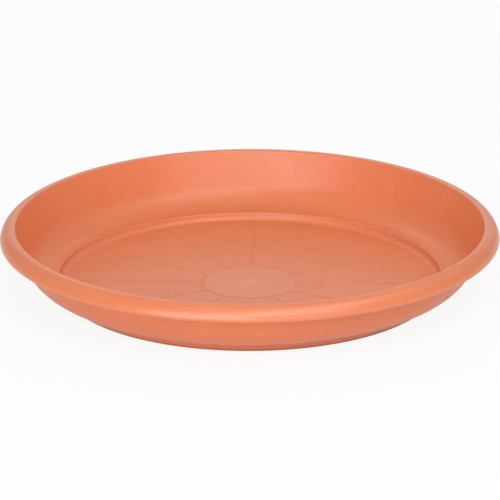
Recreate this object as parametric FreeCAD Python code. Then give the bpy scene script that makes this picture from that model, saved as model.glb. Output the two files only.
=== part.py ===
import FreeCAD, Part
import math
import os

# Plant saucer: a round, shallow dish that catches the water under a flower pot.
# The real saucer is one thin-walled moulding. Each node below is one region of it,
# cut where the shape has a crease, and neighbouring regions meet face to face.
# Lengths are in millimetres, angles in degrees. +Z is up, and the origin is the
# middle of the circle that the foot stands on.

# Rim: the wall's top edge rolls outward. A small round leads over the top to a wider one,
# which hangs down to a rounded lower edge. Its hollow is open underneath.
outer_radius = 150.0
rim_top_height = 40.2
rim_top_radius = 3.3
rim_top_angle = 70.0
rim_crest_inset = 1.82
rim_roll_radius = 9.5
rim_edge_radius = 1.8
rim_edge_angle = 9.6
rim_skin = 2.0

# Wall: a straight flare that curves inward at its foot, a little thinner under the curve.
wall_thickness = 2.2
wall_angle = 68.5
wall_corner_radius = 19.15
wall_corner_outer_radius = 21.0

# Sunken floor. An upright leads down to it from the wall's corner and ends in a wide cove.
floor_inset = 4.2
floor_thickness = 2.2
upright_height = 4.7
upright_angle = 78.0
upright_cove_radius = 3.1

# Foot: a ring under the floor's edge, a little wider than the floor.
foot_overhang = 0.35
foot_width = 3.0
foot_height = 1.4
foot_draft_angle = 13.0

# Low relief on the floor: a ring and ribs, which hold the pot clear of the water.
relief_height = 0.3
ring_outer_radius = 29.4
ring_width = 1.8
rib_count = 12
rib_width = 1.5
rib_end_clearance = 0.3

# Marks that the mould leaves: the gate's stub and the outline of a round insert.
gate_base_radius = 1.3
gate_tip_radius = 0.8
gate_height = 0.7
insert_radius = 5.0
insert_line_width = 0.7
insert_height = 0.2
insert_gap = 7.1

axis_point = FreeCAD.Vector(0, 0, 0)
axis_direction = FreeCAD.Vector(0, 0, 1)


def along(start, angle, distance):
    """Point at a distance from start, in the section plane, at an angle above the outward direction."""
    turn = math.radians(angle)
    return (start[0] + distance * math.cos(turn), start[1] + distance * math.sin(turn))


def in_space(point):
    """Section point (radius, height) as a point of the model's XZ plane."""
    return FreeCAD.Vector(point[0], 0, point[1])


def line(start, end):
    """Straight edge of a section."""
    return Part.LineSegment(in_space(start), in_space(end)).toShape()


def arc(centre, start, end):
    """Round edge of a section: the shorter way about centre from start to end."""
    radius = math.hypot(start[0] - centre[0], start[1] - centre[1])
    first = math.atan2(start[1] - centre[1], start[0] - centre[0])
    last = math.atan2(end[1] - centre[1], end[0] - centre[0])
    turn = (last - first + math.pi) % (2 * math.pi) - math.pi
    middle = along(centre, math.degrees(first + turn / 2), radius)
    return Part.Arc(in_space(start), in_space(middle), in_space(end)).toShape()


def circle_distance(start, angle, centre, radius):
    """How far a straight line runs from start, at an angle, before it meets the circle."""
    turn = math.radians(angle)
    gap = (centre[0] - start[0], centre[1] - start[1])
    ahead = gap[0] * math.cos(turn) + gap[1] * math.sin(turn)
    aside = gap[0] * math.sin(turn) - gap[1] * math.cos(turn)
    return ahead - math.sqrt(radius ** 2 - aside ** 2)


def turned(edges):
    """Solid that the closed section makes when it turns once about the saucer's axis."""
    section = Part.Face(Part.Wire(edges))
    return section.revolve(axis_point, axis_direction, 360)


def save(node, shape):
    """Writes one node and prints its size, so that a reader can check it."""
    box = shape.BoundBox
    print(f"{node}: {box.XLength:.2f} x {box.YLength:.2f} x {box.ZLength:.2f} mm")
    shape.exportStep(f"parts/{node}.step")


os.makedirs("parts", exist_ok=True)

# Height of the floor's upper face.
floor_top = foot_height + floor_thickness

# The edge's round reaches the saucer's outer radius, and the top's round its full height.
# The roll touches both, so their centres lie on lines from the roll's own centre.
edge_reach = rim_roll_radius - rim_edge_radius
top_reach = rim_roll_radius - rim_top_radius
edge_centre_radius = outer_radius - rim_edge_radius
top_centre_height = rim_top_height - rim_top_radius
roll_centre_radius = edge_centre_radius - edge_reach * math.cos(math.radians(rim_edge_angle))
roll_centre_height = top_centre_height - top_reach * math.sin(math.radians(rim_top_angle))
roll_centre = (roll_centre_radius, roll_centre_height)
top_centre = along(roll_centre, rim_top_angle, top_reach)
edge_centre = along(roll_centre, rim_edge_angle, edge_reach)

# The crest is where the top's round meets the wall's inner face.
crest_angle = 90 + math.degrees(math.asin(rim_crest_inset / rim_top_radius))
crest = along(top_centre, crest_angle, rim_top_radius)
inner_roll_radius = rim_roll_radius - rim_skin
inner_top_radius = rim_top_radius - rim_skin
roll_start = along(roll_centre, rim_top_angle, rim_roll_radius)
roll_start_inner = along(roll_centre, rim_top_angle, inner_roll_radius)
roll_end = along(roll_centre, rim_edge_angle, rim_roll_radius)
roll_end_inner = along(roll_centre, rim_edge_angle, inner_roll_radius)

# The wall's inner face starts at the crest and touches the corner's arc. The outer face
# lies one thickness outside it and touches an arc of its own, at the same height.
flare = math.radians(wall_angle)
wall_normal = wall_angle - 90
corner_height = floor_top + upright_height + wall_corner_radius
crest_rise = (crest[1] - corner_height) * math.cos(flare)
corner_reach = (crest_rise + wall_corner_radius) / math.sin(flare)
outer_corner_reach = (crest_rise + wall_corner_outer_radius - wall_thickness) / math.sin(flare)
corner_centre = (crest[0] - corner_reach, corner_height)
outer_corner_centre = (crest[0] - outer_corner_reach, corner_height)
corner_top_inner = along(corner_centre, wall_normal, wall_corner_radius)
corner_top_outer = along(outer_corner_centre, wall_normal, wall_corner_outer_radius)

# The wall's outer face ends where it runs into the underside of the rim.
face_end = along(crest, wall_normal, wall_thickness)
face_drop = circle_distance(face_end, wall_angle + 180, top_centre, inner_top_radius)
wall_top_outer = along(face_end, wall_angle + 180, face_drop)
wall_top_inner = along(wall_top_outer, wall_normal + 180, wall_thickness)

# The upright stands on the cove at the floor's edge and ends at the corner's arcs.
floor_radius = outer_corner_centre[0] - floor_inset
floor_edge = (floor_radius, floor_top)
floor_under_edge = (floor_radius, foot_height)
cove_centre = (floor_radius, floor_top + upright_cove_radius)
outer_cove_radius = upright_cove_radius + floor_thickness
cove_end = along(cove_centre, upright_angle - 90, upright_cove_radius)
cove_end_outer = along(cove_centre, upright_angle - 90, outer_cove_radius)
upright_rise = circle_distance(cove_end, upright_angle, corner_centre, wall_corner_radius)
outer_rise = circle_distance(cove_end_outer, upright_angle, outer_corner_centre, wall_corner_outer_radius)
wall_start = along(cove_end, upright_angle, upright_rise)
wall_start_under = along(cove_end_outer, upright_angle, outer_rise)

# Outer part of the rim: the roll and its lower edge.
edge_bottom = along(edge_centre, -90, rim_edge_radius)
inner_edge_radius = rim_skin - rim_edge_radius
inner_edge_centre = along(edge_bottom, 90, inner_edge_radius)
inner_edge_side = along(inner_edge_centre, 180, inner_edge_radius)
rim_skirt = turned([
    arc(roll_centre, roll_start, roll_end),
    arc(edge_centre, roll_end, edge_bottom),
    arc(inner_edge_centre, edge_bottom, inner_edge_side),
    line(inner_edge_side, roll_end_inner),
    arc(roll_centre, roll_end_inner, roll_start_inner),
    line(roll_start_inner, roll_start),
])

# Inner part of the rim, over its top and the crest to the wall.
rim_crown = turned([
    arc(top_centre, roll_start, crest),
    line(crest, wall_top_inner),
    line(wall_top_inner, wall_top_outer),
    arc(top_centre, wall_top_outer, roll_start_inner),
    line(roll_start_inner, roll_start),
])

# Straight flare of the wall.
wall_flare = turned([
    line(wall_top_outer, wall_top_inner),
    line(wall_top_inner, corner_top_inner),
    line(corner_top_inner, corner_top_outer),
    line(corner_top_outer, wall_top_outer),
])

# Rounded corner below the flare, in to the upright's top edge.
wall_corner = turned([
    line(corner_top_outer, corner_top_inner),
    arc(corner_centre, corner_top_inner, wall_start),
    line(wall_start, wall_start_under),
    arc(outer_corner_centre, wall_start_under, corner_top_outer),
])

# Upright with its cove, which joins the wall's corner to the sunken floor.
floor_upright = turned([
    arc(cove_centre, floor_edge, cove_end),
    line(cove_end, wall_start),
    line(wall_start, wall_start_under),
    line(wall_start_under, cove_end_outer),
    arc(cove_centre, cove_end_outer, floor_under_edge),
    line(floor_under_edge, floor_edge),
])

# Flat floor, held off the ground by the foot.
floor_plate = Part.makeCylinder(floor_radius, floor_thickness, in_space((0, foot_height)))

# Foot: the narrow ring that the saucer stands on. Its outer face leans outward and ends on
# the round underside of the cove.
foot_lean = math.tan(math.radians(foot_draft_angle))
foot_radius = floor_radius + foot_overhang
foot_inner_radius = foot_radius - foot_width
foot_top_reach = foot_overhang + foot_height * foot_lean
foot_top_drop = math.sqrt(outer_cove_radius ** 2 - foot_top_reach ** 2)
foot_top_outer = (floor_radius + foot_top_reach, cove_centre[1] - foot_top_drop)
foot_top_inner = (foot_inner_radius - foot_height * foot_lean, foot_height)
foot_ring = turned([
    line((foot_inner_radius, 0), (foot_radius, 0)),
    line((foot_radius, 0), foot_top_outer),
    arc(cove_centre, foot_top_outer, floor_under_edge),
    line(floor_under_edge, foot_top_inner),
    line(foot_top_inner, (foot_inner_radius, 0)),
])

# Raised ring in the middle of the floor.
ring_base = in_space((0, floor_top))
ring_inner_radius = ring_outer_radius - ring_width
centre_ring = Part.makeCylinder(ring_outer_radius, relief_height, ring_base)
centre_ring = centre_ring.cut(Part.makeCylinder(ring_inner_radius, relief_height, ring_base))

# Ribs from the ring towards the cove, evenly spaced.
rib_length = floor_radius - rib_end_clearance - ring_outer_radius
rib_corner = FreeCAD.Vector(ring_outer_radius, -rib_width / 2, floor_top)
rib_pitch = 360 / rib_count
ribs = []
for number in range(rib_count):
    rib = Part.makeBox(rib_length, rib_width, relief_height, rib_corner)
    rib.rotate(axis_point, axis_direction, number * rib_pitch)
    ribs.append(rib)
radial_ribs = Part.makeCompound(ribs)

# Stub that is left where the plastic entered the mould.
gate_mark = Part.makeCone(gate_base_radius, gate_tip_radius, gate_height, ring_base)

# Faint raised outline of the mould's round insert, midway between two ribs.
insert_distance = ring_outer_radius + insert_gap + insert_radius
insert_base = in_space((insert_distance, floor_top))
insert_mark = Part.makeCylinder(insert_radius, insert_height, insert_base)
insert_hole = Part.makeCylinder(insert_radius - insert_line_width, insert_height, insert_base)
insert_mark = insert_mark.cut(insert_hole)
insert_mark.rotate(axis_point, axis_direction, -rib_pitch / 2)

save("rim_skirt", rim_skirt)
save("rim_crown", rim_crown)
save("wall_flare", wall_flare)
save("wall_corner", wall_corner)
save("floor_upright", floor_upright)
save("floor_plate", floor_plate)
save("foot_ring", foot_ring)
save("centre_ring", centre_ring)
save("radial_ribs", radial_ribs)
save("gate_mark", gate_mark)
save("insert_mark", insert_mark)
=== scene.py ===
# %% [markdown]
# # A plant saucer on its CAD frame
# The real saucer is a shallow dish that catches the water under a flower pot. It leaves the
# mould in one piece, so nothing on it moves and everything rides on one body.
# One turned mesh could show all of it. Here each region of the moulding gets a surface of its
# own in place of the CAD solid, because a solid has sharp creases and a moulding never does,
# and because each region can then be looked at, measured and mended by itself.

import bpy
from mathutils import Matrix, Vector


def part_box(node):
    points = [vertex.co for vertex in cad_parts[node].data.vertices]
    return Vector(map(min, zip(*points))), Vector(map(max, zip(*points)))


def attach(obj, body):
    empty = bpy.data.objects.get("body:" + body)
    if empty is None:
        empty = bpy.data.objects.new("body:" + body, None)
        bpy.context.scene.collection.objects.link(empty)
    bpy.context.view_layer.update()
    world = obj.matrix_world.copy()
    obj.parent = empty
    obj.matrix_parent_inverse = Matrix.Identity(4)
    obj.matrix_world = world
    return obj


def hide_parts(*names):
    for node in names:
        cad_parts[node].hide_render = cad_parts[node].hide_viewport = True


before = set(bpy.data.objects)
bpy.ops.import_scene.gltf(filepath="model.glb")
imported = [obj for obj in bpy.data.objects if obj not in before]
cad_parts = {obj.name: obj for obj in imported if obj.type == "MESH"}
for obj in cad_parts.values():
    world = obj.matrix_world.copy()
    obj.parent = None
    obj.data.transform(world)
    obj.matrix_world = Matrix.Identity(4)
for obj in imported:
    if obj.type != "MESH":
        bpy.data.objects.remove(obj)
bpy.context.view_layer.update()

# %% [markdown]
# ## The camera
# The photograph was taken from far away with a long lens: the circles of the rim, the wall and
# the foot look almost like ellipses of one shape. A camera could be moved by eye until it fits.
# Here it is set by numbers that were measured on those circles: how high it stands, which way
# it looks and how far it is turned about its own line of sight.

# %% Camera at the photograph's angle
import math

import bpy
import numpy as np
from mathutils import Matrix, Vector

photo_width = 500
camera_distance = 4.5
camera_height_angle = math.radians(19.21)
camera_side_angle = math.radians(2.0)
camera_tilt = math.radians(0.172)
aim = Vector((0.00011, 0, 0.02397))
pixels_per_metre = 1663.7

away = Vector((
    math.sin(camera_side_angle) * math.cos(camera_height_angle),
    -math.cos(camera_side_angle) * math.cos(camera_height_angle),
    math.sin(camera_height_angle),
))
level = Vector((math.cos(camera_side_angle), math.sin(camera_side_angle), 0))
upward = away.cross(level)
right = level * math.cos(camera_tilt) - upward * math.sin(camera_tilt)
up = upward * math.cos(camera_tilt) + level * math.sin(camera_tilt)

camera_data = bpy.data.cameras.new("camera")
camera_data.sensor_width = 36
camera_data.lens = pixels_per_metre * camera_distance / photo_width * camera_data.sensor_width
camera = bpy.data.objects.new("camera", camera_data)
bpy.context.scene.collection.objects.link(camera)
turned_axes = Matrix((right, up, away)).transposed().to_4x4()
camera.matrix_world = Matrix.Translation(aim + away * camera_distance) @ turned_axes
bpy.context.scene.camera = camera
print("lens in mm", round(camera_data.lens, 1), "camera at", [round(value, 3) for value in camera.location])

# %% [markdown]
# ## The section
# Everything round on the saucer follows from one section: a list of radii and heights. It is
# written in millimetres, as a mould maker would, and each point is worked out from the sizes
# that carry it, so the surfaces land where the CAD solids are.

# %% Sizes of the moulding, in millimetres
mm = 0.001
# The rim: its top round, the crest inside it, the roll and the rounded lower edge.
outer_radius = 150.0
top_height = 40.2
top_radius = 3.3
top_angle = math.radians(70.0)
crest_inset = 1.82
roll_radius = 9.5
edge_radius = 1.8
edge_angle = math.radians(9.6)
skin = 2.0
# The wall and the wide round at its foot.
wall_thickness = 2.2
wall_angle = math.radians(68.5)
corner_radius = 19.15
outer_corner_radius = 21.0
# The floor, the upright that runs round it, and the ring it stands on.
floor_inset = 4.2
floor_thickness = 2.2
upright_height = 4.7
upright_angle = math.radians(78.0)
cove_radius = 3.1
foot_overhang = 0.35
foot_width = 3.0
foot_height = 1.4
foot_draft = math.tan(math.radians(13.0))
floor_top = foot_height + floor_thickness
rim_low, rim_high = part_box("rim_skirt")
print("rim radius in the CAD", round(rim_high.x / mm, 2), "mm, from", round(rim_low.z / mm, 2), "mm up")

# %% Points of the rim
quarter = math.pi / 2


def along(start, angle, distance):
    """The point at a distance from start, at an angle above the outward direction."""
    return np.array([start[0] + distance * math.cos(angle), start[1] + distance * math.sin(angle)])


roll_centre = np.array([
    outer_radius - edge_radius - (roll_radius - edge_radius) * math.cos(edge_angle),
    top_height - top_radius - (roll_radius - top_radius) * math.sin(top_angle),
])
top_centre = along(roll_centre, top_angle, roll_radius - top_radius)
edge_centre = along(roll_centre, edge_angle, roll_radius - edge_radius)
crest = along(top_centre, quarter + math.asin(crest_inset / top_radius), top_radius)
inner_roll = roll_radius - skin
roll_angles = (top_angle, edge_angle)
roll_start, roll_end = [along(roll_centre, angle, roll_radius) for angle in roll_angles]
roll_start_inner, roll_end_inner = [along(roll_centre, angle, inner_roll) for angle in roll_angles]
edge_bottom = edge_centre - [0, edge_radius]
inner_edge_radius = skin - edge_radius
inner_edge_centre = edge_bottom + [0, inner_edge_radius]
inner_edge_side = inner_edge_centre - [inner_edge_radius, 0]
print("rim rolls about", roll_centre.round(2), "with its crest at", crest.round(2))

# %% Points of the wall, the upright and the foot


def circle_distance(start, angle, centre, radius):
    """How far a straight line runs from start, at an angle, before it meets the circle."""
    gap = centre - start
    ahead = gap[0] * math.cos(angle) + gap[1] * math.sin(angle)
    aside = gap[0] * math.sin(angle) - gap[1] * math.cos(angle)
    return ahead - math.sqrt(radius**2 - aside**2)


outward = wall_angle - quarter
corner_height = floor_top + upright_height + corner_radius
rise = (crest[1] - corner_height) * math.cos(wall_angle)
inner_reach = (rise + corner_radius) / math.sin(wall_angle)
outer_reach = (rise + outer_corner_radius - wall_thickness) / math.sin(wall_angle)
corner_centre = np.array([crest[0] - inner_reach, corner_height])
outer_corner_centre = np.array([crest[0] - outer_reach, corner_height])
corner_top_inner = along(corner_centre, outward, corner_radius)
corner_top_outer = along(outer_corner_centre, outward, outer_corner_radius)
face_end = along(crest, outward, wall_thickness)
face_drop = circle_distance(face_end, wall_angle + math.pi, top_centre, top_radius - skin)
wall_top_outer = along(face_end, wall_angle + math.pi, face_drop)
wall_top_inner = along(wall_top_outer, outward + math.pi, wall_thickness)

floor_radius = outer_corner_centre[0] - floor_inset
floor_edge = np.array([floor_radius, floor_top])
floor_under_edge = np.array([floor_radius, foot_height])
cove_centre = np.array([floor_radius, floor_top + cove_radius])
outer_cove = cove_radius + floor_thickness
cove_turn = upright_angle - quarter
cove_end, cove_end_outer = [along(cove_centre, cove_turn, radius) for radius in (cove_radius, outer_cove)]
inner_rise = circle_distance(cove_end, upright_angle, corner_centre, corner_radius)
wall_start = along(cove_end, upright_angle, inner_rise)
outer_rise = circle_distance(cove_end_outer, upright_angle, outer_corner_centre, outer_corner_radius)
wall_start_under = along(cove_end_outer, upright_angle, outer_rise)
foot_radius = floor_radius + foot_overhang
foot_top_reach = foot_overhang + foot_height * foot_draft
foot_top_outer = cove_centre + [foot_top_reach, -math.sqrt(outer_cove**2 - foot_top_reach**2)]
print("floor radius", round(floor_radius, 2), "and foot radius", round(foot_radius, 2))
print("upright ends at", wall_start.round(2))

# %% [markdown]
# ## Runs and soft joins
# A section is made of straight and round runs. Where two runs meet, the mould's edge was
# rounded by a cutter or by polishing, and that narrow round is what catches the light.
# A Bevel modifier could round the edges. Here the runs are cut short by a small length and a
# curve is laid between them, because each edge of the moulding has its own softness.

# %% Straight and round runs


def straight(start, end, step=1.0):
    """Points start + t (end - start), for even t from 0 to 1, about one step apart."""
    start, end = np.asarray(start, float), np.asarray(end, float)
    count = int(np.linalg.norm(end - start) / step) + 2
    return start + np.linspace(0, 1, count)[:, None] * (end - start)


def bend(centre, start, end, step=0.45):
    """Points centre + radius (cos a, sin a), for even a that goes the shorter way from start to end."""
    first = math.atan2(*(np.asarray(start) - centre)[::-1])
    last = math.atan2(*(np.asarray(end) - centre)[::-1])
    turn = (last - first + math.pi) % (2 * math.pi) - math.pi
    radius = np.linalg.norm(np.asarray(start) - centre)
    angle = first + turn * np.linspace(0, 1, int(radius * abs(turn) / step) + 3)
    return centre + radius * np.column_stack([np.cos(angle), np.sin(angle)])


print("a straight run of 10 mm has", len(straight([0, 0], [10, 0])), "points")

# %% Runs joined softly into a section


def shortened(run, before, after):
    """The run without its first and last lengths, read off by the distance walked along it."""
    walked = np.concatenate([[0], np.cumsum(np.linalg.norm(np.diff(run, axis=0), axis=1))])
    inside = walked[(walked > before) & (walked < walked[-1] - after)]
    kept = np.concatenate([[before], inside, [walked[-1] - after]])
    return np.column_stack([np.interp(kept, walked, run[:, 0]), np.interp(kept, walked, run[:, 1])])


def section(runs, soft):
    """Runs joined end to end. At each corner C both runs lose the same length, and the curve
    (1-t)(1-t) A + 2t(1-t) C + t t B leads from A, the end of one, to B, the start of the next.
    With as many soft lengths as runs the section is closed, and with one fewer it is open."""
    soft = list(soft) + [0] * (len(runs) - len(soft))
    parts = []
    for number, run in enumerate(runs):
        parts.append(shortened(run, soft[number - 1], soft[number]))
        if soft[number] > 0:
            after = shortened(runs[(number + 1) % len(runs)], soft[number], 0)[0]
            t = np.linspace(0, 1, 9)[1:-1, None]
            parts.append((1 - t) ** 2 * parts[-1][-1] + 2 * t * (1 - t) * run[-1] + t**2 * after)
    points = np.concatenate(parts)
    apart = np.linalg.norm(points - np.roll(points, 1, axis=0), axis=1) > 1e-3
    return points[apart]


square_corner = section([straight([0, 0], [5, 0]), straight([5, 0], [5, 5])], [1])
print("two runs with a soft corner have", len(square_corner), "points")

# %% [markdown]
# ## Turning a section
# A lathe makes a round shape by turning an outline about an axis, and so does the Screw
# modifier. Here the surface is written out as a grid of two parameters, the place along the
# outline and the angle round the axis, because the grid can be closed without a seam and
# every point is known, so it can be compared with the CAD solid.

# %% A piece in place of its CAD nodes
sharp_angle = math.radians(50)


def add_piece(name, points, faces, *nodes):
    """Makes one piece from its points and faces, smooth but for true edges, in place of CAD nodes."""
    mesh = bpy.data.meshes.new(name)
    mesh.from_pydata(points.tolist(), [], faces)
    mesh.shade_smooth()
    mesh.set_sharp_from_angle(angle=sharp_angle)
    made = bpy.data.objects.new(name, mesh)
    bpy.context.scene.collection.objects.link(made)
    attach(made, "root")
    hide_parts(*nodes)
    triangles = sum(len(face) - 2 for face in faces)
    low, high = points.min(axis=0) / mm, points.max(axis=0) / mm
    print(name, triangles, "triangles, from", low.round(2), "to", high.round(2), "mm")
    return made


# %% A closed outline turned round the axis


def counter_clockwise(points):
    """The same outline, walked so that the material lies on its left: its area, by the sum of
    cross products of neighbouring points, is then positive."""
    after = np.roll(points, -1, axis=0)
    area = np.sum(points[:, 0] * after[:, 1] - after[:, 0] * points[:, 1])
    return points if area > 0 else points[::-1]


def turned(name, outline, *nodes, steps=360):
    """A closed outline carried round the axis: the point (r, z) at the angle a becomes
    (r cos a, r sin a, z). Where the outline touches the axis, the whole row is one point."""
    outline = counter_clockwise(outline)
    on_axis = outline[:, 0] < 1e-6
    if on_axis.any():
        outline = np.roll(outline, -int(np.argmax(on_axis & ~np.roll(on_axis, -1))), axis=0)
    angle = np.arange(steps) * 2 * math.pi / steps
    body = outline[1:-1] if on_axis.any() else outline
    radius, height = body[:, :1] * mm, body[:, 1:] * mm
    grid = np.stack([radius * np.cos(angle), radius * np.sin(angle), height + 0 * angle], axis=2)
    points = grid.reshape(-1, 3)
    rows, column = np.arange(len(body))[:, None], np.arange(steps)
    after = (column + 1) % steps
    first, second = (rows, (rows + 1) % len(body)) if not on_axis.any() else (rows[:-1], rows[1:])
    quads = np.stack([
        first * steps + column,
        first * steps + after,
        second * steps + after,
        second * steps + column,
    ], axis=2)
    faces = quads.reshape(-1, 4).tolist()
    if on_axis.any():
        poles = np.array([[0, 0, outline[0, 1]], [0, 0, outline[-1, 1]]]) * mm
        points = np.concatenate([points, poles])
        start, end = len(points) - 2, len(points) - 1
        last = (len(body) - 1) * steps
        faces += np.column_stack([np.full(steps, start), after, column]).tolist()
        faces += np.column_stack([last + column, last + after, np.full(steps, end)]).tolist()
    return add_piece(name, points, faces, *nodes)


# %% [markdown]
# ## The rim
# The rim is the wall's top edge, rolled outward so that it is stiff and kind to the hands. It
# is hollow underneath and ends in a rounded lower edge. Its inner edge, the crest, is crisp,
# and seen from the front it shines as a thin pale line.
# A tube would give the round top, but not the hollow, so the whole hooked section is turned.

# %% Rim
crest_soft = 0.3
rim_runs = [
    np.concatenate([
        bend(top_centre, crest, roll_start),
        bend(roll_centre, roll_start, roll_end)[1:],
        bend(edge_centre, roll_end, edge_bottom, step=0.2)[1:],
        bend(inner_edge_centre, edge_bottom, inner_edge_side, step=0.2)[1:],
    ]),
    straight(inner_edge_side, roll_end_inner),
    np.concatenate([
        bend(roll_centre, roll_end_inner, roll_start_inner),
        bend(top_centre, roll_start_inner, wall_top_outer)[1:],
    ]),
    straight(wall_top_outer, wall_top_inner),
    straight(wall_top_inner, crest, step=0.4),
]
rim = turned("rim", section(rim_runs, [0, 0, 0, 0, crest_soft]), "rim_skirt", "rim_crown")

# %% [markdown]
# ## The wall
# The wall flares outward so that saucers stack and leave the mould easily. At its foot it
# curves in over a wide round, which ends at a crisp edge above the sunken floor.
# The flare and the round are one surface here, so that no line shows where the straight part
# ends. The edge itself belongs to the next piece, so that its softness isn't cut in two.

# %% Wall with its rounded corner
edge_strip = 1.6
wall_start_angle = math.atan2(*(wall_start - corner_centre)[::-1])
strip_top = along(corner_centre, wall_start_angle + edge_strip / corner_radius, corner_radius)
wall_runs = [
    straight(wall_top_inner, corner_top_inner),
    bend(corner_centre, corner_top_inner, strip_top, step=0.8),
    straight(strip_top, wall_start_under),
    bend(outer_corner_centre, wall_start_under, corner_top_outer, step=0.8),
    straight(corner_top_outer, wall_top_outer),
    straight(wall_top_outer, wall_top_inner),
]
wall = turned("wall", section(wall_runs, [0, 0, 0, 0, 0, 0]), "wall_flare", "wall_corner")

# %% [markdown]
# ## The upright round the floor
# The floor is sunk a few millimetres, so a narrow upright runs round it. A wide cove leads up
# from the floor, where water can be wiped out, and its top is the edge that meets the wall.
# This piece takes a narrow strip of the floor and of the wall with it, so that both meeting
# lines lie on smooth ground and the cove and the edge are each one surface.

# %% Upright with its cove and its edge
floor_strip = 2.5
upright_soft = 0.55
strip_edge = np.array([floor_radius - floor_strip, floor_top])
strip_under = np.array([floor_radius - floor_strip, foot_height])
upright_runs = [
    straight(strip_edge, floor_edge, step=0.5),
    bend(cove_centre, floor_edge, cove_end, step=0.2),
    straight(cove_end, wall_start, step=0.3),
    bend(corner_centre, wall_start, strip_top, step=0.3),
    straight(strip_top, wall_start_under),
    straight(wall_start_under, cove_end_outer),
    bend(cove_centre, cove_end_outer, floor_under_edge),
    straight(floor_under_edge, strip_under),
    straight(strip_under, strip_edge),
]
upright = turned("upright", section(upright_runs, [0, 0, upright_soft, 0, 0, 0, 0, 0, 0]), "floor_upright")

# %% [markdown]
# ## The floor and the foot
# The floor is a thin flat disc, held just off the ground by a narrow foot ring, so that the
# saucer doesn't rock. A cylinder would do for both, but its flat faces would have one long
# triangle from the middle to the edge, so both are turned on the same grid as the rest.

# %% Floor
floor_runs = [
    straight([0, foot_height], strip_under, step=8),
    straight(strip_under, strip_edge),
    straight(strip_edge, [0, floor_top], step=4),
]
floor = turned("floor", section(floor_runs, [0, 0]), "floor_plate")

# %% Foot
foot_soft = 0.35
foot_inner = foot_radius - foot_width
foot_inner_top = np.array([foot_inner - foot_height * foot_draft, foot_height])
foot_runs = [
    straight([foot_inner, 0], [foot_radius, 0]),
    straight([foot_radius, 0], foot_top_outer),
    bend(cove_centre, foot_top_outer, floor_under_edge),
    straight(floor_under_edge, foot_inner_top),
    straight(foot_inner_top, [foot_inner, 0]),
]
foot = turned("foot", section(foot_runs, [foot_soft, 0, 0, 0, foot_soft]), "foot_ring")

# %% [markdown]
# ## Low relief on the floor
# A ring and twelve ribs stand 0.3 mm proud, so that a pot doesn't seal itself to the floor.
# They are cut into the mould with a small round cutter, so they have soft feet and soft edges.
# Carving them with a bump map would be enough from above, but from the side a bump map stays
# flat, so they are real surfaces with a smooth step on either side.

# %% Centre ring
relief_height = 0.3
relief_soft = 0.5
sunk = 0.3
ring_outer = 29.4
ring_width = 1.8


def ridge_outline(half_width, height, soft):
    """Outline of a low ridge on the floor. Its top follows height * t t (3 - 2t), where t runs
    from 0 to 1 over the soft width on either side of the half width; its foot lies flat."""
    reach = half_width + soft / 2
    side = np.linspace(0, 1, 9)
    flank = height * side**2 * (3 - 2 * side)
    flat = np.linspace(-half_width + soft / 2, half_width - soft / 2, 4)[1:-1]
    across = np.concatenate([-reach + soft * side, flat, reach - soft * side[::-1]])
    top = np.column_stack([across, np.concatenate([flank, height + 0 * flat, flank[::-1]])])
    foot_line = straight([reach, -sunk], [-reach, -sunk], step=0.6)
    return np.concatenate([top, foot_line])


ring_ridge = ridge_outline(ring_width / 2, relief_height, relief_soft)
ring = turned("ring", ring_ridge + [ring_outer - ring_width / 2, floor_top], "centre_ring")

# %% One rib along x
rib_width = 1.5
rib_ease = 0.5
# The rib starts a little inside the ring, so that no gap shows between the two.
rib_start = ring_outer - 0.2
rib_end = floor_radius


def carried_straight(outline, start, end, ease):
    """A closed outline (y, z) carried along x from start to end. Over the first and last ease
    lengths it shrinks towards the floor by the height of a quarter circle, and it ends in a point."""
    inner = start + ease * (1 - np.cos(np.linspace(0, quarter, 6)))[1:]
    outer = end - ease * (1 - np.cos(np.linspace(0, quarter, 6)))[1:]
    along_rib = np.concatenate([inner, np.linspace(start + ease, end - ease, 60)[1:-1], outer[::-1]])
    near = np.clip(np.minimum(along_rib - start, end - along_rib) / ease, 0, 1)
    shrink = np.sqrt(1 - (1 - near) ** 2)[:, None]
    across = shrink * outline[:, 0]
    height = np.where(outline[:, 1] > 0, shrink * outline[:, 1], outline[:, 1] + 0 * shrink)
    grid = np.stack([along_rib[:, None] + 0 * across, across, height], axis=2)
    return grid, np.array([[start, 0, -sunk / 2], [end, 0, -sunk / 2]])


rib_outline = counter_clockwise(ridge_outline(rib_width / 2, relief_height, relief_soft))
rib_grid, rib_tips = carried_straight(rib_outline, rib_start, rib_end, rib_ease)
one_rib = np.concatenate([rib_grid.reshape(-1, 3), rib_tips]) + [0, 0, floor_top]
print("one rib of", len(one_rib), "points runs from", rib_start, "to", round(rib_end, 2), "mm")

# %% Faces of one rib, with a fan of triangles at either tip
rows, across = rib_grid.shape[:2]
row, place = np.arange(rows - 1)[:, None], np.arange(across)
beside = (place + 1) % across
rib_quads = np.stack([
    row * across + place,
    (row + 1) * across + place,
    (row + 1) * across + beside,
    row * across + beside,
], axis=2).reshape(-1, 4)
tip_start, tip_end = len(one_rib) - 2, len(one_rib) - 1
last_row = (rows - 1) * across
start_fan = np.column_stack([np.full(across, tip_start), place, beside])
end_fan = np.column_stack([last_row + place, np.full(across, tip_end), last_row + beside])
print("one rib has", len(rib_quads), "quads and", len(start_fan) + len(end_fan), "triangles")

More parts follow.
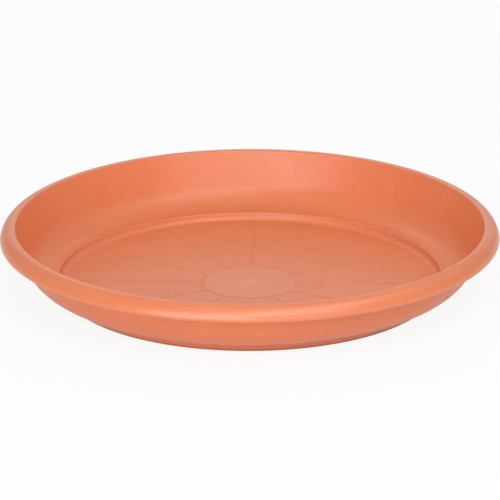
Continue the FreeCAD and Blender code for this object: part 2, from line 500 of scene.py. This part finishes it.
# %% Twelve ribs round the axis
rib_count = 12
turn = np.arange(rib_count) * 2 * math.pi / rib_count
none, whole = 0 * turn, 1 + 0 * turn
spin = np.array([
    [np.cos(turn), -np.sin(turn), none],
    [np.sin(turn), np.cos(turn), none],
    [none, none, whole],
])
rib_points = np.einsum("ijk,nj->kni", spin, one_rib).reshape(-1, 3) * mm
shift = (np.arange(rib_count) * len(one_rib))[:, None, None]
rib_faces = (rib_quads + shift).reshape(-1, 4).tolist()
rib_faces += (start_fan + shift).reshape(-1, 3).tolist()
rib_faces += (end_fan + shift).reshape(-1, 3).tolist()
ribs = add_piece("ribs", rib_points, rib_faces, "radial_ribs")

# %% [markdown]
# ## Marks that the mould leaves
# The plastic enters at the middle and is broken off there, which leaves a short rough stub.
# Further out lies the outline of a round steel insert, a line finer than a fingernail.
# Both could be modelled by hand, vertex by vertex. Here both are turned first and their points
# are moved afterwards: the stub's top becomes a wavy surface of radius and angle, and the
# outline fades away on one side, as it does where the insert sits flush.

# %% Gate stub, as it was moulded
gate_base, gate_tip, gate_height = 1.3, 0.8, 0.7
gate_shoulder = gate_height - 0.12
gate_buried, gate_foot = [gate_base + 0.1, -sunk], [gate_base, 0.05]
gate_outline = section([
    straight([0, -sunk], gate_buried, step=0.5),
    straight(gate_buried, gate_foot, step=0.2),
    straight(gate_foot, [gate_tip, gate_shoulder], step=0.15),
    straight([gate_tip, gate_shoulder], [0, gate_shoulder], step=0.1),
], [0, 0.1, 0.15]) + [0, floor_top]
gate = turned("gate", gate_outline, "gate_mark", steps=48)

# %% Gate stub, as it was torn off
tear_lean, tear_teeth = 0.16, 0.09


def points_of(made):
    """All points of a piece, read into an array of rows (x, y, z)."""
    points = np.empty(3 * len(made.data.vertices))
    made.data.vertices.foreach_get("co", points)
    return points.reshape(-1, 3)


def put_points(made, points):
    """Writes moved points back into the piece."""
    made.data.vertices.foreach_set("co", points.ravel())
    made.data.update()


gate_points = points_of(gate)
gate_radius = np.hypot(gate_points[:, 0], gate_points[:, 1]) / mm
gate_angle = np.arctan2(gate_points[:, 1], gate_points[:, 0])
raised = np.clip((gate_points[:, 2] / mm - floor_top) / gate_height, 0, 1)
# The tear leans to one side and has three teeth. The numbers added to the angle only turn them.
break_off = tear_lean * np.cos(gate_angle - 0.9) + tear_teeth * np.cos(3 * gate_angle + 1.3)
gate_points[:, 2] += mm * raised * break_off * np.clip(gate_radius / gate_tip, 0, 1)
put_points(gate, gate_points)
print("gate stands", round(gate_points[:, 2].max() / mm - floor_top, 2), "mm above the floor at most")

# %% Insert outline
insert_radius, insert_line, insert_height = 5.0, 0.7, 0.2
insert_soft = 0.35
insert_gap = 7.1
insert_distance = ring_outer + insert_gap + insert_radius
insert_turn = math.radians(-15)
tallest_turn, lowest_share = math.radians(50), 0.25

insert_ridge = ridge_outline(insert_line / 2, insert_height, insert_soft)
insert = turned("insert", insert_ridge + [insert_radius - insert_line / 2, 0], "insert_mark", steps=120)
insert_points = points_of(insert)
round_angle = np.arctan2(insert_points[:, 1], insert_points[:, 0])
fade = lowest_share + (1 - lowest_share) * np.clip(np.cos(round_angle - tallest_turn), 0, 1)
insert_points[:, 2] = np.where(insert_points[:, 2] > 0, insert_points[:, 2] * fade, insert_points[:, 2])
insert_middle = [insert_distance * math.cos(insert_turn), insert_distance * math.sin(insert_turn), floor_top]
insert_points += np.array(insert_middle) * mm
put_points(insert, insert_points)
print("insert's middle at", np.round(insert_middle, 2), "mm")

# %% [markdown]
# ## Colour and the plastic
# Polypropylene is coloured in the melt with an iron-red and titanium-white pigment, so the
# colour goes all the way through and nothing is painted. The mould was blasted to a fine
# satin, which spreads highlights without hiding them.
# One material could serve everything, because the real saucer is one shot of plastic. Here one
# function makes that plastic, and each piece wears it with what the mould and its use left on
# it: polish on the rim, a paler hub and a torn gate. Some pieces also carry painted light: a
# painted sheen on the upright, and painted shade on the foot, the relief's flanks and the
# insert's outline.

# %% Colours from hex, and nodes with their settings


def linear(code):
    """A colour written as sRGB hex, turned to the linear values that a shader works with: a
    straight line for the darkest shares and a power of 2.4 above them, as sRGB lays down."""
    share = np.array([int(code[place:place + 2], 16) for place in (1, 3, 5)]) / 255
    value = np.where(share <= 0.04045, share / 12.92, ((share + 0.055) / 1.055) ** 2.4)
    return (*value.tolist(), 1.0)


def add_node(tree, kind, inputs=(), **settings):
    """Adds one node with its own settings. Inputs give a socket its value, or the output that
    feeds it."""
    made = tree.nodes.new(kind)
    for name, value in settings.items():
        setattr(made, name, value)
    for name, value in dict(inputs).items():
        if isinstance(value, bpy.types.NodeSocket):
            tree.links.new(value, made.inputs[name])
        else:
            made.inputs[name].default_value = value
    return made


def new_material(name):
    """An empty node material with its output."""
    made = bpy.data.materials.new(name)
    made.use_nodes = True
    made.node_tree.nodes.clear()
    return made, made.node_tree, made.node_tree.nodes.new("ShaderNodeOutputMaterial")


terracotta = linear("#E67F50")
print("terracotta in linear values", np.round(terracotta[:3], 3))

# %% Injection-moulded polypropylene, satin from a blasted mould
mottle_size = 34 * mm
speckle_size = 4.5 * mm
gloss_patch_size = 14 * mm
grain_size = 0.9 * mm
grain_depth, grain_strength = 0.02 * mm, 0.12
# Noise seldom leaves this range, so its patterns are spread from here.
noise_low, noise_high = 0.3, 0.7
colour_spread, gloss_spread = 0.035, 0.03
satin_roughness, satin_sheen = 0.36, 0.75
plastic_ior = 1.49


def moulded_plastic(name, roughness=satin_roughness, sheen_level=satin_sheen):
    """Injection-moulded polypropylene: pigment that is a little uneven over a hand's width and
    over a few millimetres, gloss that varies in patches, and the mould's blasted grain. The eye
    sees broad soft highlights on a colour that is never quite flat. The real grain is about
    0.1 mm; it is drawn at 0.9 mm, because a finer one can't show here."""
    made, tree, output = new_material(name)
    place = add_node(tree, "ShaderNodeTexCoord").outputs["Object"]
    patterns = ((mottle_size, 2.0), (speckle_size, 3.0), (gloss_patch_size, 2.0), (grain_size, 2.0))
    mottle, speckle, patches, grain = [
        add_node(tree, "ShaderNodeTexNoise", {
            "Vector": place, "Scale": 1 / size, "Detail": detail,
        }).outputs["Fac"]
        for size, detail in patterns
    ]
    uneven = add_node(tree, "ShaderNodeMath", {0: mottle, 1: speckle}, operation="ADD").outputs[0]
    brightness = add_node(tree, "ShaderNodeMapRange", {
        "Value": uneven, "From Min": 2 * noise_low, "From Max": 2 * noise_high,
        "To Min": 1 - colour_spread, "To Max": 1 + colour_spread,
    }).outputs[0]
    colour = add_node(tree, "ShaderNodeHueSaturation", {
        "Color": terracotta, "Value": brightness,
    }).outputs["Color"]
    gloss = add_node(tree, "ShaderNodeMapRange", {
        "Value": patches, "From Min": noise_low, "From Max": noise_high,
        "To Min": roughness - gloss_spread, "To Max": roughness + gloss_spread,
    }).outputs[0]
    bump = add_node(tree, "ShaderNodeBump", {
        "Height": grain, "Strength": grain_strength, "Distance": grain_depth,
    }).outputs["Normal"]
    plastic = add_node(tree, "ShaderNodeBsdfPrincipled", {
        "Base Color": colour, "Roughness": gloss, "Normal": bump,
        "IOR": plastic_ior, "Specular IOR Level": sheen_level,
    })
    tree.links.new(plastic.outputs[0], output.inputs["Surface"])
    return made, tree, place, plastic, colour


satin, *_ = moulded_plastic("satin moulded polypropylene")
wall.data.materials.append(satin)
print("satin plastic on", wall.name)

# %% [markdown]
# ### What is laid on the plastic's colour
# Painted sheen, painted shade and pale bent or torn plastic change the colour only in places.
# Each could be a shader of its own, laid over the plastic by a share. Here only the colours are
# mixed, so that the plastic's own gloss still shows through them.

# %% A second colour, laid over the plastic by a share
# Mix has a set of sockets for each kind of value, so those for colours go by their number.
mix_under, mix_over, mix_result = 6, 7, 2


def lay_over(tree, plastic, colour, share, code):
    """Lays a painted sheen, painted shade or a pale mark on the plastic: where the share is s, the
    colour shown is (1 - s) times the plastic's own and s times the one written as hex."""
    sockets = {"Factor": share, mix_under: colour, mix_over: linear(code)}
    shown = add_node(tree, "ShaderNodeMix", sockets, data_type="RGBA").outputs[mix_result]
    tree.links.new(shown, plastic.inputs["Base Color"])


print("colours are mixed through sockets", mix_under, "and", mix_over)

# %% [markdown]
# ### The rim's polish
# Hands and other saucers rub the rim, and its part of the mould is polished so that it comes
# free, so it shines more than the wall. On its lower edge, at the front, is a nick: bent plastic
# turns pale there. A scratch could be cut into the mesh, but this one is only a millimetre long,
# so a pale spot that fades with the distance from one point is enough.

# %% Rim of the same polypropylene, glossier, with its nick
rim_roughness, rim_sheen = 0.32, 1.0
nick_turn, nick_radius, nick_height = math.radians(-104.3), 149.3, 30.9
nick_core, nick_reach, nick_most = 0.5, 1.4, 0.8

rim_gloss, tree, place, plastic, colour = moulded_plastic(
    "polished moulded polypropylene", rim_roughness, rim_sheen,
)
nick_point = (
    nick_radius * math.cos(nick_turn) * mm,
    nick_radius * math.sin(nick_turn) * mm,
    nick_height * mm,
)
from_nick = add_node(tree, "ShaderNodeVectorMath", {
    0: place, 1: nick_point,
}, operation="DISTANCE").outputs["Value"]
nick_share = add_node(tree, "ShaderNodeMapRange", {
    "Value": from_nick, "From Min": nick_core * mm, "From Max": nick_reach * mm,
    "To Min": nick_most, "To Max": 0.0,
}).outputs[0]
lay_over(tree, plastic, colour, nick_share, "#FFBE96")
rim.data.materials.append(rim_gloss)
print("glossier plastic on", rim.name, "with a nick at", np.round(np.array(nick_point) / mm, 1), "mm")

# %% [markdown]
# ### Painted sheen on the upright, painted shade on the foot
# The upright is painted a little paler, as a painted sheen in place of the light it catches. The
# foot is painted darker towards the ground, as painted shade where it meets the ground.
# Both could be painted into a texture. Here both follow the height, which is known at every
# point, so the painted sheen ends at the upright's edge and the painted shade thins out towards
# the wall.

# %% Upright with a painted sheen
# Painted sheen: a pale colour laid on the upright by a share that rises from the floor and falls near the
# upright's edge, in place of a highlight there.
painted_sheen_from, painted_sheen_full = 0.3, 1.5
painted_sheen_thins, painted_sheen_ends = upright_height - 0.6, upright_height + 0.2
painted_sheen_most = 0.07

sheen_painted_plastic, tree, place, plastic, colour = moulded_plastic("moulded polypropylene with a painted sheen")
level = add_node(tree, "ShaderNodeSeparateXYZ", {"Vector": place}).outputs["Z"]
rising = add_node(tree, "ShaderNodeMapRange", {
    "Value": level, "From Min": (floor_top + painted_sheen_from) * mm, "From Max": (floor_top + painted_sheen_full) * mm,
}).outputs[0]
falling = add_node(tree, "ShaderNodeMapRange", {
    "Value": level, "From Min": (floor_top + painted_sheen_thins) * mm, "From Max": (floor_top + painted_sheen_ends) * mm,
    "To Min": painted_sheen_most, "To Max": 0.0,
}).outputs[0]
painted_sheen_share = add_node(tree, "ShaderNodeMath", {0: rising, 1: falling}, operation="MULTIPLY").outputs[0]
lay_over(tree, plastic, colour, painted_sheen_share, "#F2D0B2")
upright.data.materials.append(sheen_painted_plastic)
print("painted sheen on", upright.name, "from", painted_sheen_from, "to", round(painted_sheen_ends, 1), "mm above the floor")

# %% Foot with painted shade near the ground
# Painted shade: the foot is darkened most near the ground and less higher up, in place of the shade where it
# meets the ground.
foot_shade_thins, foot_shade_thin = 0.6 * foot_height, 1.6 * foot_height
foot_shade_most, foot_shade_least = 0.3, 0.12

foot_shade_plastic, tree, place, plastic, colour = moulded_plastic("moulded polypropylene with painted shade near the ground")
level = add_node(tree, "ShaderNodeSeparateXYZ", {"Vector": place}).outputs["Z"]
foot_shade_share = add_node(tree, "ShaderNodeMapRange", {
    "Value": level, "From Min": foot_shade_thins * mm, "From Max": foot_shade_thin * mm,
    "To Min": foot_shade_most, "To Max": foot_shade_least,
}).outputs[0]
lay_over(tree, plastic, colour, foot_shade_share, "#7C402C")
foot.data.materials.append(foot_shade_plastic)
print("painted shade on", foot.name, "thins out", round(foot_shade_thin, 1), "mm above the ground")

# %% [markdown]
# ### Relief and marks
# The flanks of the low relief are painted browner and a little darker: this is painted shade,
# so that its outlines show. A line painted into a texture could hold it. Here the share of
# painted shade follows the height above the floor, which is known at every point: it is none on
# the floor, largest halfway up the flank and none on the flat top. A red-brown painted shade lies
# on the insert's outline only where it stands tallest, so a short arc of it shows.
# At the gate the plastic was torn, and torn polypropylene is rough and whitish, because it
# stretches into fine fibres that scatter the light.

# %% Ribs and ring with painted shade along their flanks
# Painted shade: a browner, darker colour on the flanks of the ribs and the ring, in place of their shade.
relief_shade_most = 0.22

relief_shade_plastic, tree, place, plastic, colour = moulded_plastic("moulded polypropylene relief with painted shade")
level = add_node(tree, "ShaderNodeSeparateXYZ", {"Vector": place}).outputs["Z"]
# With t as the height above the floor over the relief's own, the share is 4 t (1 - t) its most.
t = add_node(tree, "ShaderNodeMapRange", {
    "Value": level, "From Min": floor_top * mm, "From Max": (floor_top + relief_height) * mm,
}).outputs[0]
rest = add_node(tree, "ShaderNodeMath", {0: 1.0, 1: t}, operation="SUBTRACT").outputs[0]
hump = add_node(tree, "ShaderNodeMath", {0: t, 1: rest}, operation="MULTIPLY").outputs[0]
relief_shade_share = add_node(tree, "ShaderNodeMath", {0: hump, 1: 4 * relief_shade_most}, operation="MULTIPLY").outputs[0]
lay_over(tree, plastic, colour, relief_shade_share, "#B8805F")
for made in (ribs, ring):
    made.data.materials.append(relief_shade_plastic)
print("painted shade along the flanks of", [made.name for made in (ribs, ring)], "with a share of", relief_shade_most, "at most")

# %% Painted shade on the tallest part of the insert's outline
# Painted shade: a dark red-brown on the tallest part of the insert's outline, in place of its shade.
insert_shade_from, insert_shade_full, insert_shade_most = 0.13, 0.17, 0.95

insert_shade_plastic, tree, place, plastic, colour = moulded_plastic("moulded polypropylene outline with painted shade")
level = add_node(tree, "ShaderNodeSeparateXYZ", {"Vector": place}).outputs["Z"]
insert_shade_share = add_node(tree, "ShaderNodeMapRange", {
    "Value": level, "From Min": (floor_top + insert_shade_from) * mm, "From Max": (floor_top + insert_shade_full) * mm,
    "To Max": insert_shade_most,
}).outputs[0]
lay_over(tree, plastic, colour, insert_shade_share, "#BE4E1E")
insert.data.materials.append(insert_shade_plastic)
print("painted shade on", insert.name, "from", insert_shade_from, "mm above the floor")

# %% Torn polypropylene of the gate stub
torn_roughness, torn_sheen = 0.6, 0.5
fibre_size = 0.8 * mm
fibre_low, fibre_high = 0.35, 0.65
white_least, white_most = 0.05, 0.5

torn, tree, place, plastic, colour = moulded_plastic("torn polypropylene", torn_roughness, torn_sheen)
fibres = add_node(tree, "ShaderNodeTexNoise", {
    "Vector": place, "Scale": 1 / fibre_size, "Detail": 3.0,
}).outputs["Fac"]
white_share = add_node(tree, "ShaderNodeMapRange", {
    "Value": fibres, "From Min": fibre_low, "From Max": fibre_high,
    "To Min": white_least, "To Max": white_most,
}).outputs[0]
lay_over(tree, plastic, colour, white_share, "#EED2C4")
gate.data.materials.append(torn)
print("torn plastic on", gate.name, "with roughness", torn_roughness)

# %% [markdown]
# ### The floor's finish
# Inside the ring the mould holds a separate round insert with a finer finish, so the plastic
# looks a little paler there. Close to the gate the plastic flowed in hot and fast, which
# leaves a blush. Both are faint, and both depend only on the distance from the middle.
# A painted texture could hold them, but a distance worked out in the shader stays smooth
# however close the camera comes.

# %% Floor plastic with its paler hub and the blush round the gate
hub_edge, hub_blend, hub_most = ring_outer - ring_width, 0.4, 0.07
blush_core, blush_reach, blush_most = 3, 9, 0.10
top_layer_from, top_layer_full = floor_top - 0.3, floor_top - 0.1

hub_satin, tree, place, plastic, colour = moulded_plastic("moulded polypropylene floor")
# Without its height, the length of a place is its distance from the axis.
flat_place = add_node(tree, "ShaderNodeVectorMath", {
    0: place, 1: (1, 1, 0),
}, operation="MULTIPLY").outputs["Vector"]
from_middle = add_node(tree, "ShaderNodeVectorMath", {0: flat_place}, operation="LENGTH").outputs["Value"]
in_hub = add_node(tree, "ShaderNodeMapRange", {
    "Value": from_middle, "From Min": hub_edge * mm, "From Max": (hub_edge + hub_blend) * mm,
    "To Min": hub_most, "To Max": 0.0,
}).outputs[0]
in_blush = add_node(tree, "ShaderNodeMapRange", {
    "Value": from_middle, "From Min": blush_core * mm, "From Max": blush_reach * mm,
    "To Min": blush_most, "To Max": 0.0,
}, interpolation_type="SMOOTHSTEP").outputs[0]
both_shares = add_node(tree, "ShaderNodeMath", {0: in_hub, 1: in_blush}, operation="ADD").outputs[0]
level = add_node(tree, "ShaderNodeSeparateXYZ", {"Vector": place}).outputs["Z"]
on_top = add_node(tree, "ShaderNodeMapRange", {
    "Value": level, "From Min": top_layer_from * mm, "From Max": top_layer_full * mm,
}).outputs[0]
pale_share = add_node(tree, "ShaderNodeMath", {0: both_shares, 1: on_top}, operation="MULTIPLY").outputs[0]
lay_over(tree, plastic, colour, pale_share, "#F2C4AE")
floor.data.materials.append(hub_satin)
print("hub is paler inside", round(hub_edge, 1), "mm, blush fades out at", blush_reach, "mm")

# %% [markdown]
# ## Studio light
# The photograph was taken in a white studio. Its light comes mostly from the front: from wide
# soft boxes low on the left and low on the right, one above the camera and one high on the
# right. Weaker ones stand at the right front, at the right side and overhead, and the two
# behind lay a sheen on the floor and on the back of the rim.
# A sky picture could do this, but plain soft boxes and an even pale surround can be set one at
# a time, and the plastic then looks right under other light as well. The powers are those at
# which the boxes together come nearest the photograph's brightness.

# %% Pale surround
surround_strength = 0.42
world = bpy.data.worlds.new("pale studio")
bpy.context.scene.world = world
world.use_nodes = True
world.node_tree.nodes.clear()
surround = add_node(world.node_tree, "ShaderNodeBackground", {
    "Color": (1, 1, 1, 1), "Strength": surround_strength,
})
add_node(world.node_tree, "ShaderNodeOutputWorld", {"Surface": surround.outputs[0]})
print("pale surround at", surround_strength)

# %% Soft boxes
lamp_distance = 2.2
# Each box has its angle round the saucer and its angle above the ground in degrees, its width
# and height in metres and its power in watts, and it faces the saucer.
soft_boxes = (
    ("low left soft box", -111, 14, 1.7, 0.85, 14.8),
    ("low right soft box", -67, 9, 1.7, 0.6, 2.2),
    ("front soft box", -82, 38, 2.4, 0.7, 12.6),
    ("right front soft box", -55, 26, 0.9, 0.5, 0.87),
    ("high right soft box", -48, 57, 2.0, 0.8, 8.3),
    ("high back soft box", 98, 42, 1.4, 0.8, 3.8),
    ("low back soft box", 90, 18, 2.4, 0.8, 2.7),
    ("right side soft box", 22, 48, 1.4, 1.0, 1.3),
    ("top soft box", -90, 80, 1.4, 1.2, 2.5),
)
for name, side_angle, height_angle, width, height, power in soft_boxes:
    side, lift = math.radians(side_angle), math.radians(height_angle)
    direction = Vector((math.cos(side) * math.cos(lift), math.sin(side) * math.cos(lift), math.sin(lift)))
    lamp_data = bpy.data.lights.new(name, "AREA")
    lamp_data.shape = "RECTANGLE"
    lamp_data.size, lamp_data.size_y, lamp_data.energy = width, height, power
    lamp = bpy.data.objects.new(name, lamp_data)
    lamp.location = direction * lamp_distance
    lamp.rotation_euler = direction.to_track_quat("Z", "Y").to_euler()
    lamp.visible_camera = False
    bpy.context.scene.collection.objects.link(lamp)
    print(name, "at", [round(value, 2) for value in lamp.location], "m with", power, "W")

# %% [markdown]
# ## The ground
# The saucer stands on white paper that fills the whole view. Paper under studio light comes
# out a little grey. More light would clip the plastic, so the paper glows by a share instead:
# a large one where the camera looks at it, and a smaller one where a reflection or clear
# material does. The rest of it is still lit by the lamps, and so the shadow stays.

# %% Sheet of paper
paper_half = 4.0
paper_height = -0.05 * mm
paper_corners = ((-1, -1), (1, -1), (1, 1), (-1, 1))
paper_points = [(x * paper_half, y * paper_half, paper_height) for x, y in paper_corners]
paper_mesh = bpy.data.meshes.new("paper")
paper_mesh.from_pydata(paper_points, [], [(0, 1, 2, 3)])
paper = bpy.data.objects.new("paper", paper_mesh)
bpy.context.scene.collection.objects.link(paper)
print("paper covers", 2 * paper_half, "by", 2 * paper_half, "m and lies a hair below the foot")

# %% Matt white paper, which the eye sees without any gloss
glow_seen, glow_mirrored = 0.9, 0.5
paper_material, tree, output = new_material("white paper")
lit = add_node(tree, "ShaderNodeBsdfDiffuse", {"Color": linear("#F2F2F2")})
glowing = add_node(tree, "ShaderNodeEmission", {"Color": (1, 1, 1, 1), "Strength": 1.0})
path = add_node(tree, "ShaderNodeLightPath").outputs
mirrored = add_node(tree, "ShaderNodeMath", {
    0: path["Is Glossy Ray"], 1: path["Is Transmission Ray"],
}, operation="MAXIMUM").outputs[0]
mirrored_share = add_node(tree, "ShaderNodeMath", {
    0: mirrored, 1: glow_mirrored,
}, operation="MULTIPLY").outputs[0]
seen_share = add_node(tree, "ShaderNodeMath", {
    0: path["Is Camera Ray"], 1: glow_seen,
}, operation="MULTIPLY").outputs[0]
share = add_node(tree, "ShaderNodeMath", {0: seen_share, 1: mirrored_share}, operation="MAXIMUM").outputs[0]
mixed = add_node(tree, "ShaderNodeMixShader", {0: share, 1: lit.outputs[0], 2: glowing.outputs[0]})
tree.links.new(mixed.outputs[0], output.inputs["Surface"])
paper.data.materials.append(paper_material)
print("paper glows by", glow_seen, "where it is seen and by", glow_mirrored, "where it is mirrored")

# %% [markdown]
# ## Last steps
# Colours are shown as written, with the Standard view.

bpy.context.scene.view_settings.view_transform = "Standard"
